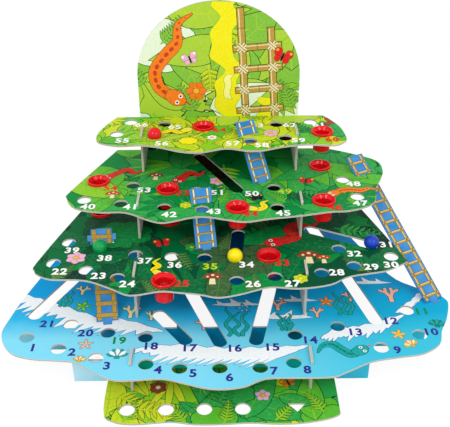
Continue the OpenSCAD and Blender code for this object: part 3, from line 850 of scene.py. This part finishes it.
dress_card("top_forest_board", "Z", planted("grass", "lime", "leaf", "grass", patch=34))
top_art = Sheet()
foliage(top_art, 41, (-136, 180, 146, 276), 60, top_tones, (34, 64))
for x, y, turn in ((-96, 244, 30), (-20, 200, 110), (10, 216, 60), (86, 232, 100), (116, 262, 20)):
    fern(top_art, x, y, turn, 26, "lime")
bush(top_art, -34, 212, 11, "yellow")
snake(top_art, [(-72, 240), (-63, 234), (-54, 239), (-45, 234), (-37, 240)], 8, "yellow", "gold")
snake(top_art, [(132, 273), (125, 267), (131, 259), (124, 253), (120, 246)], 7, "brown", "rust")
flower(top_art, 58, 230, 9, "pink", "gold")
flower(top_art, -8, 220, 6, "white", "gold")
print_board("top_board_print", top_art, "top_forest_board")

# Back panel.
# One tall card stands behind the boards and takes their hooks; its round top is printed with big
# pale leaves, a bright tree, a tall ladder of lashed canes and a snake. Below the top board it is dark:
# dark bark and green print, made darker still as painted shade where the boards above shade it.

top_level = span("top_forest_board", "Z")[1]
card_thick = 2


def arch_ground(tree, mm):
    """The ground of the panel: pale above the top board; below it, dark print darkened further as painted
    shade.
    """
    upright = wire(tree, "Mapping", {"Vector": mm, "Rotation": (math.radians(-90), 0, 0)}).outputs["Vector"]
    high = garden_ground(tree, upright, ("spring", "mist", "fresh", "spring", "mist"), 46)
    # Painted shade: below the top board the ground is near-black bark and night green, darker than the
    # print, for the shade under the boards.
    low = garden_ground(tree, upright, ("bark", "night", "bark", "dark"), 40)
    height = wire(tree, "SeparateXYZ", {0: mm}).outputs["Z"]
    in_painted_shade = reckon(tree, "LESS_THAN", height, top_level - card_thick)
    return blend(tree, in_painted_shade, high, low)


def cane(sheet, start, end, wide):
    """A length of cane with its shine and joints."""
    length = math.hypot(end[0] - start[0], end[1] - start[1])
    way = math.degrees(math.atan2(end[1] - start[1], end[0] - start[0]))
    lay(sheet, "tan", turned(ribbon([(0, 0), (length, 0)], [wide, wide]), *start, way))
    shine = ribbon([(wide * 0.2, wide * 0.22), (length - wide * 0.2, wide * 0.22)], [wide * 0.16] * 2)
    lay(sheet, "cream", turned(shine, *start, way), line=None)
    joints = max(2, int(length / (wide * 3)))
    rings = []
    for n in range(1, joints):
        at = length * n / joints
        rings.append(turned(ribbon([(at, -wide / 2), (at, wide / 2)], [0.5, 0.5]), *start, way))
    lay(sheet, "line", *rings, line=None)


def lashing(sheet, x, y, size, turn):
    """Crossed cords, two each way, that tie a rung to its upright."""
    for lean in (45, -45):
        pair = [ribbon([(-0.7, shift), (0.7, shift)], [0.2, 0.2]) for shift in (-0.16, 0.16)]
        lay(sheet, "cream", *(turned(strand, x, y, turn + lean, size) for strand in pair), weight=0.25)


def arch_tones(x, y):
    """The leaf and vein colours; a pale leaf has no vein."""
    if x > 45:
        return ("spring", "grass"), ("fresh", "spring"), ("mist", None), ("fresh", "grass"), ("mist", None)
    return ("spring", "grass"), ("spring", None), ("mist", None), ("spring", "lime"), ("fresh", "spring")


def tree_line(sheet, path, width, colour, seed):
    """A tall tree of soft lobes."""
    dice = random.Random(seed)
    edges = ([], [])
    for number, (x, y) in enumerate(smooth_path(path, 2)):
        for edge, side in zip(edges, (-1, 1)):
            lobe = 0.3 + 0.26 * ((number + (side > 0)) % 2) + dice.uniform(-0.08, 0.08)
            edge.append((x + side * width * lobe, y + dice.uniform(-2, 2)))
    lay(sheet, colour, smooth_path(edges[0], 5) + smooth_path(edges[1], 5)[::-1], line="grass", weight=0.6)


dress_card("back_panel", "Y", arch_ground, front_first=True)
arch_art = Sheet()
foliage(arch_art, 51, (-94, 172, 94, 305), 34, arch_tones, (56, 104))
tree_line(arch_art, [(18, 164), (8, 196), (14, 226), (2, 256), (10, 284), (4, 304)], 28, "yellow", 5)
tree_line(arch_art, [(52, 164), (60, 178), (54, 190)], 22, "yellow", 7)
tree_line(arch_art, [(10, 190), (10, 206), (12, 220)], 9, "straw", 6)
for x, y, turn in ((-88, 204, 110), (-30, 172, 100), (-64, 256, 40), (84, 176, 100)):
    fern(arch_art, x, y, turn, 40, "fresh", pairs=9)
cane_foot = 160
cane_lean = 0.0615
cord_size = 9
cord_turn = 4
cane(arch_art, (32, cane_foot), (24, 296), 7.5)
cane(arch_art, (66, cane_foot), (58, 274), 7.5)
for height in (176, 201, 226, 251):
    lean = (height - cane_foot) * cane_lean
    cane(arch_art, (22 - lean, height - 1), (76 - lean, height + 3), 7)
    lashing(arch_art, 32 - lean, height, cord_size, cord_turn)
    lashing(arch_art, 66 - lean, height + 2, cord_size, cord_turn)
arch_path = [(-28, 290), (-44, 278), (-46, 258), (-60, 242), (-72, 224), (-68, 204), (-50, 192)]
snake(arch_art, arch_path, 14, "orange", "rust")
flower(arch_art, -26, 200, 12, "orange", "gold", turn=60)
butterfly(arch_art, -32, 238, 22, "pink", "white", 20)
butterfly(arch_art, 72, 240, 26, "red", "gold", -20)
flat_to_front = Matrix.Rotation(math.radians(90), 4, "X")
on_arch = Matrix.Translation((0, span("back_panel", "Y")[0] / 1000, 0)) @ flat_to_front
to_front = Vector((0, -cutter_rise, 0))
print_sheet("back_panel_print", arch_art, "back_panel", on_arch, to_front)

# Numbers.
# Every place on the boards has its printed number, in heavy round figures beside its hole, cup or slot.
# They are navy on the water and white in the forest; red marks a cup and green or lime a ladder.

seat_places = {}
for mount in frame["record"]["mounts"]:
    words = mount["name"].split("_")
    if words[0] in ("seat", "cup") and words[1].isdigit():
        seat_places[int(words[1])] = [1000 * value for value in mount["pos_m"][:2]]
for number, ball in ((38, "green_marble"), (56, "red_marble")):
    seat_places[number] = [sum(span(ball, axis)) / 2 for axis in "XY"]
slot_numbers = {
    12: (175, 63), 15: (51, 25), 16: (14, 24), 17: (-30, 25), 21: (-179, 64),
    31: (176, 127), 34: (27, 93), 50: (35, 169), 57: (15, 204),
}
beside = {
    1: (9, -15), 2: (14, -5), 3: (12, -11), 4: (12, -8), 5: (13, -7), 6: (9, -13), 7: (13, -5),
    8: (12, -10), 9: (15, -4), 10: (13, 4), 11: (15, -2), 13: (17, -9), 14: (15, -8), 18: (7, -13),
    19: (13, -12), 20: (17, -14),
    22: (9, -15), 23: (14, -10), 24: (11, -11), 25: (18, -4), 26: (16, -6), 27: (17, -12), 28: (15, 0),
    29: (17, -3), 30: (-3, -15), 32: (15, -10), 33: (13, -12), 35: (6, -16), 36: (4, -15), 37: (11, -12),
    38: (7, -17), 39: (6, -15), 40: (6, -14), 41: (10, -7), 42: (6, -15), 43: (12, -5), 44: (13, -12),
    45: (5, -12), 46: (10, -13), 47: (1, -14), 48: (10, -10), 49: (11, -9), 51: (22, -5), 52: (17, -7),
    53: (13, -11), 54: (15, -14), 55: (8, -17), 56: (9, -17), 58: (12, -11), 59: (14, -7), 60: (9, -18),
    61: (8, -9), 62: (15, -3), 63: (19, -4), 64: (18, -8), 65: (12, -8), 66: (13, -8),
}
cup_numbers = (25, 33, 44, 46, 52, 54, 60, 64)
figure_height = 10.8
figure_stretch = 1.04
figure_weight = 0.034
figure_depth = 0.01
figure_squash = 0.0005
letter_gap = 1.12
curve_steps = 3
inks["figure_red"] = tint(228, 44, 34)
inks["figure_green"] = tint(0, 140, 70)
inks["figure_lime"] = tint(190, 216, 30)


def figure_ink(number):
    """The ink of a number, by what stands at its place."""
    if number in cup_numbers:
        return "figure_red"
    if number in (11, 19):
        return "figure_green"
    if number in (35, 49):
        return "figure_lime"
    return "navy" if number < 22 else "white"


def set_number(number, height):
    """Sets one number as heavy type and makes it a film of ink at its place."""
    bpy.ops.object.select_all(action="DESELECT")
    bpy.ops.object.text_add()
    word = bpy.context.object
    word.data.body = str(number)
    word.data.offset = figure_weight
    word.data.extrude = figure_depth
    word.data.resolution_u = curve_steps
    word.data.space_character = letter_gap
    bpy.ops.object.convert(target="MESH")
    bpy.ops.object.mode_set(mode="EDIT")
    bpy.ops.mesh.select_all(action="SELECT")
    bpy.ops.mesh.remove_doubles(threshold=1e-4)
    bpy.ops.mesh.normals_make_consistent(inside=False)
    bpy.ops.object.mode_set(mode="OBJECT")
    corners = [Vector(corner) for corner in word.bound_box]
    low = [min(corner[n] for corner in corners) for n in range(3)]
    high = [max(corner[n] for corner in corners) for n in range(3)]
    size = figure_height / 1000 / (high[1] - low[1])
    if number in slot_numbers:
        x, y = slot_numbers[number]
    else:
        x, y = (place + shift for place, shift in zip(seat_places[number], beside[number]))
    centre = Matrix.Translation([-(low[n] + high[n]) / 2 for n in range(3)])
    flat = Matrix.Diagonal((size * figure_stretch, size, figure_squash, 1))
    word.data.transform(Matrix.Translation((x / 1000, y / 1000, height / 1000)) @ flat @ centre)
    word.data.materials.clear()
    word.data.materials.append(ink_finish(figure_ink(number)))
    return word


def print_numbers(name, first, last, board):
    """Sets a board's numbers on its print and joins them in one piece."""
    height = span(board, "Z")[1] + ink_tops[board]
    made = [set_number(number, height) for number in range(first, last + 1)]
    pick(made[0])
    for word in made:
        word.select_set(True)
    bpy.ops.object.join()
    numbers = bpy.context.object
    numbers.name = numbers.data.name = name
    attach(numbers, "frame")


print_numbers("sea_numbers", 1, 21, "sea_board")
print_numbers("lower_numbers", 22, 39, "lower_forest_board")
print_numbers("middle_numbers", 40, 54, "middle_forest_board")
print_numbers("top_numbers", 55, 66, "top_forest_board")

# Ladders.
# Four strips of blue card lean from a lower level to a higher one, each with a foot tab in the lower board
# and its head through a slot in the upper one. Ropes, planks or canes are printed on their fronts.

ladder_half = 11.25
ladder_rise = 0.001
first_rung = 6


def dress_ladder(node):
    """Blue printed card, a little washed."""
    material, tree, shader, mm = finish(node + "_card", print_shine, print_roughness)
    wash = shades(tree, noise(tree, mm, 0.05, 4.0), [(0.3, tint(46, 126, 196)), (0.7, tint(82, 154, 214))])
    tree.links.new(wash, shader.inputs["Base Color"])
    paper_tooth(tree, mm, shader)
    dress(node, material)


def ladder_stand(node):
    """Where a ladder's front lies: the turn of its face, from its foot up, and its length."""
    piece = bpy.data.objects[node]
    faces = [face for face in piece.data.polygons if face.normal.z > 0.2 and face.normal.y < 0]
    front = max(faces, key=lambda face: face.area)
    face = (piece.matrix_world.to_3x3() @ front.normal).normalized()
    across = Vector((0, 0, 1)).cross(face).normalized()
    along = face.cross(across)
    corners = [piece.matrix_world @ corner.co for corner in piece.data.vertices]
    middle = sum(edge(across.dot(corner) for corner in corners) for edge in (min, max)) / 2
    full = [c for c in corners if abs(across.dot(c) - middle) > (ladder_half - 1) / 1000]
    foot = min(along.dot(corner) for corner in full)
    head = max(along.dot(corner) for corner in full)
    height = face.dot(piece.matrix_world @ piece.data.vertices[front.vertices[0]].co)
    origin = across * middle + along * foot + face * height
    turn = Matrix((across, along, face)).transposed().to_4x4()
    return Matrix.Translation(origin) @ turn, face, 1000 * (head - foot)


def rails(sheet, colour, length, out, wide, shift=0.0, line="line"):
    """Two long strips, one along each side of a ladder."""
    places = [side * out + shift for side in (-1, 1)]
    strips = [ribbon([(at, 1), (at, length - 1)], [wide, wide]) for at in places]
    lay(sheet, colour, *strips, line=line, weight=0.35)


def rung_places(length, apart):
    """How far up a ladder its rungs lie."""
    return [first_rung + apart * n for n in range(int((length - first_rung - 2) / apart) + 1)]


def rungs(places, half, wide, tilt=0.0):
    """Strips across a ladder, one at each place."""
    return [ribbon([(-half, at - tilt), (half, at + tilt)], [wide, wide]) for at in places]


def rope_ladder(sheet, length):
    """Rope rails with round rungs across them."""
    rails(sheet, "cream", length, out=7.4, wide=1.7)
    steps = rungs(rung_places(length, apart=9.6), half=9.4, wide=1.8, tilt=0.5)
    lay(sheet, "tan", *steps, weight=0.3)


def plank_ladder(sheet, length):
    """Planks nailed to two posts."""
    rails(sheet, "tan", length, out=7.8, wide=4.2)
    places = rung_places(length, apart=12.5)
    lay(sheet, "tan", *rungs(places, half=10.8, wide=4.2, tilt=-0.4), weight=0.35)
    columns = (-8.9, -6.7, 6.7, 8.9)
    nails = [turned(disc(0.45, 7), column, at, 0) for at in places for column in columns]
    lay(sheet, "brown", *nails, line=None)


def cane_ladder(sheet, length):
    """Canes tied crosswise, each with a line of light along it."""
    post = 7.6
    light = 0.6
    rails(sheet, "tan", length, out=post, wide=3.2)
    rails(sheet, "cream", length, out=post, wide=light, shift=-light, line=None)
    places = rung_places(length, apart=13.0)
    lay(sheet, "tan", *rungs(places, half=10.4, wide=3.0), weight=0.35)
    lay(sheet, "cream", *rungs([at + light for at in places], half=10.0, wide=light), line=None)
    tie = ribbon([(-2.4, 0), (2.4, 0)], [0.8, 0.8])
    for lean in (45, -45):
        ties = [turned(tie, side * post, at, lean) for at in places for side in (-1, 1)]
        lay(sheet, "tan", *ties, weight=0.2)


ladder_prints = {
    "ladder_11": cane_ladder, "ladder_19": plank_ladder,
    "ladder_35": rope_ladder, "ladder_49": rope_ladder,
}
for node, draw in ladder_prints.items():
    dress_ladder(node)
    stand, face, length = ladder_stand(node)
    art = Sheet()
    draw(art, length)
    print_sheet(node + "_print", art, node, stand, face * ladder_rise)

# Drop cups.
# The red cups are moulded in glossy polystyrene: a rounded lip over the board and a short tube under it,
# through which a marble drops to a slot below. They are pushed into their holes from above.


plastic_shine = 0.3
polish_fine = 0.05
polish_dull = 0.12


def moulded_finish(name, colour, deep):
    """Gloss plastic: a colour that deepens a little where it flowed, under a fine uneven polish."""
    material, tree, shader, mm = finish(name, plastic_shine)
    flow = noise(tree, mm, 0.12)
    tree.links.new(shades(tree, flow, [(0.3, deep), (0.65, colour)]), shader.inputs["Base Color"])
    haze = {"Value": noise(tree, mm, 0.6, 4.0), "To Min": polish_fine, "To Max": polish_dull}
    rough = wire(tree, "MapRange", haze).outputs["Result"]
    tree.links.new(rough, shader.inputs["Roughness"])
    return material


cup_red = moulded_finish("cup_red", tint(236, 20, 28), tint(222, 12, 20))
for node in frame["nodes"]:
    if node.startswith("cup_") or node.startswith("relay_cup_"):
        dress(node, cup_red)

# Marbles.
# Four polished balls of gloss plastic, one to a player: red, green, yellow and blue.
# Red and green sit in holes; yellow and blue roll along slots.

marble_tones = {
    "red_marble": (tint(230, 16, 28), tint(216, 8, 22)),
    "green_marble": (tint(0, 164, 82), tint(0, 148, 72)),
    "yellow_marble": (tint(254, 232, 0), tint(250, 222, 0)),
    "blue_marble": (tint(20, 70, 196), tint(12, 54, 176)),
}
for ball, (colour, deep) in marble_tones.items():
    dress(ball, moulded_finish(ball + "_gloss", colour, deep))

# Table, light and camera.
# The board stands on a white table under soft studio light, seen from in front and above.


def seen_rays(tree):
    """1 for the rays that show the backdrop: to the camera, off gloss, or through something clear."""
    rays = wire(tree, "LightPath").outputs
    seen = reckon(tree, "ADD", rays["Is Camera Ray"], rays["Is Glossy Ray"])
    return reckon(tree, "ADD", seen, rays["Is Transmission Ray"], clamp=True)


pure_white = (1, 1, 1, 1)
floor_tone = (0.8, 0.8, 0.8, 1)
floor_glow = 1.06
glow_share = 0.86
sky_light = 0.9
floor_material = bpy.data.materials.new("white_table")
floor_material.use_nodes = True
tree = floor_material.node_tree
tree.nodes.clear()
matt = wire(tree, "BsdfDiffuse", {"Color": floor_tone}).outputs[0]
glow = wire(tree, "Emission", {"Color": pure_white, "Strength": floor_glow}).outputs[0]
bright = wire(tree, "MixShader", {0: glow_share, 1: matt, 2: glow}).outputs[0]
surface = wire(tree, "MixShader", {0: seen_rays(tree), 1: matt, 2: bright}).outputs[0]
wire(tree, "OutputMaterial", {"Surface": surface})
bpy.ops.object.select_all(action="DESELECT")
table_wide = 8
table_drop = 0.0002
bpy.ops.mesh.primitive_plane_add(size=table_wide, location=(0, 0, -table_drop))
table = bpy.context.object
table.name = "table"
table.data.materials.append(floor_material)

world = bpy.data.worlds.new("studio")
bpy.context.scene.world = world
world.use_nodes = True
tree = world.node_tree
tree.nodes.clear()
soft = wire(tree, "Background", {"Color": pure_white, "Strength": sky_light}).outputs[0]
white = wire(tree, "Background", {"Color": pure_white, "Strength": 1.0}).outputs[0]
sky = wire(tree, "MixShader", {0: seen_rays(tree), 1: soft, 2: white}).outputs[0]
wire(tree, "OutputWorld", {"Surface": sky})


lamp_size = 0.5
lamp_target = Vector((0, 0.12, 0.1))


def lamp(name, place, power):
    """A square soft box at its place, turned to the middle of the object."""
    light = bpy.data.lights.new(name, "AREA")
    light.size = lamp_size
    light.energy = power
    holder = bpy.data.objects.new(name, light)
    bpy.context.collection.objects.link(holder)
    holder.location = place
    holder.rotation_euler = (lamp_target - Vector(place)).to_track_quat("-Z", "Y").to_euler()


lamp("key_lamp", (-0.7, -0.9, 1.3), 6)
lamp("fill_lamp", (0.8, -0.8, 1.1), 4)

eye = Vector((0.0022, -0.5344, 0.5319))
pitch = math.radians(31.541)
yaw = math.radians(0.274)
roll = math.radians(-0.431)
look = Vector((math.sin(yaw) * math.cos(pitch), math.cos(yaw) * math.cos(pitch), -math.sin(pitch)))
level = Vector((math.cos(yaw), -math.sin(yaw), 0))
upright = level.cross(look)
right = math.cos(roll) * level + math.sin(roll) * upright
up = -math.sin(roll) * level + math.cos(roll) * upright
view = bpy.data.cameras.new("camera")
view.lens = 60.03
view.sensor_width = 36.0
camera = bpy.data.objects.new("camera", view)
bpy.context.collection.objects.link(camera)
camera.matrix_world = Matrix.Translation(eye) @ Matrix((right, up, -look)).transposed().to_4x4()
bpy.context.scene.camera = camera
bpy.context.scene.view_settings.view_transform = "Standard"
